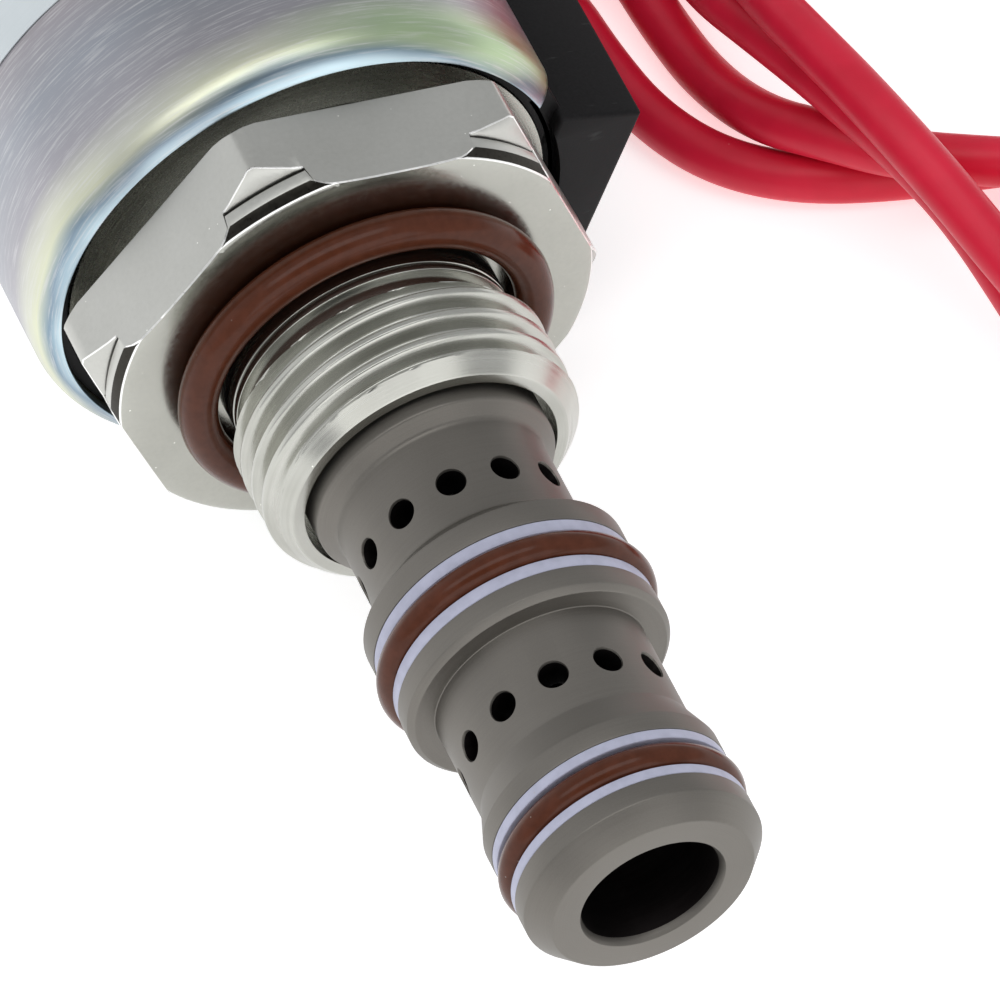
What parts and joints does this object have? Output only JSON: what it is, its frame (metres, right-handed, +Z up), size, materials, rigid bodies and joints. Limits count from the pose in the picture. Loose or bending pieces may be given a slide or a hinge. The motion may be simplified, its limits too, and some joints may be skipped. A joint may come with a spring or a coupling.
{
  "type": "cartridge valve",
  "caption": "Solenoid-operated spool cartridge valve with a ported, sealed cage, threaded hex adapter and coil with two lead wires, lying on its side.",
  "frame": {"origin": "centre of the footprint, on the surface that the valve lies on, measured without the lead wires", "axes": "+Y along the valve's axis from the nose towards the coil, +Z up from the surface, +X towards the lead wires"},
  "size_m": [0.0847, 0.1079, 0.0335],
  "materials": {
    "nickel_grey": "matte grey hard-nickel plated steel",
    "seal_brown": "brown fluorocarbon rubber with a soft sheen",
    "ptfe_white": "white PTFE, matte",
    "zinc_nickel": "satin zinc-nickel plated steel",
    "stainless": "bright drawn stainless steel",
    "soft_iron": "turned soft magnetic steel",
    "ground_steel": "hardened and ground steel",
    "brass_shim": "brass",
    "zinc_plate": "iridescent clear zinc-plated steel",
    "black_moulding": "matte black glass-filled nylon",
    "copper_wire": "enamelled copper wire",
    "label_film": "blank silver-grey film",
    "seal_black": "black nitrile rubber",
    "lead_red": "crimson silicone insulation with a soft sheen",
    "tinned_copper": "tinned copper strands",
    "tie_black": "black nylon"
  },
  "bodies": {
    "valve": {"cage": "nickel_grey", "nose_o_ring": "seal_brown", "nose_backup_front": "ptfe_white", "nose_backup_rear": "ptfe_white", "middle_o_ring": "seal_brown", "middle_backup_front": "ptfe_white", "middle_backup_rear": "ptfe_white", "hex_adapter": "zinc_nickel", "hex_o_ring": "seal_brown", "guide_tube": "stainless", "pole_piece": "soft_iron", "residual_shim": "brass_shim", "return_spring": "stainless", "coil_can": "zinc_plate", "front_flux_washer": "zinc_plate", "rear_flux_washer": "zinc_plate", "bobbin": "black_moulding", "winding": "copper_wire", "coil_moulding": "black_moulding", "lead_crimps": "brass_shim", "coil_label": "label_film", "coil_nut": "zinc_nickel", "nut_o_ring": "seal_black", "lower_lead": "lead_red", "upper_lead": "lead_red", "lead_coil": "lead_red", "lower_lead_end": "tinned_copper", "upper_lead_end": "tinned_copper", "lead_tie": "tie_black"},
    "armature": {"armature": "soft_iron", "push_link": "stainless"},
    "spool": {"spool": "ground_steel"}
  },
  "joints": [
    {"name": "armature_slide", "type": "slide", "parent": "valve", "child": "armature", "axis": [0, 1, 0], "range_m": [0, 0.0024], "stiffness_N_per_m": 1800, "springref_m": -0.004, "deforming": ["return_spring"]},
    {"name": "spool_slide", "type": "slide", "parent": "valve", "child": "spool", "axis": [0, 1, 0], "range_m": [0, 0.0024]}
  ],
  "couplings": [
    {"joint": "spool_slide", "follows": "armature_slide", "ratio": 1}
  ]
}
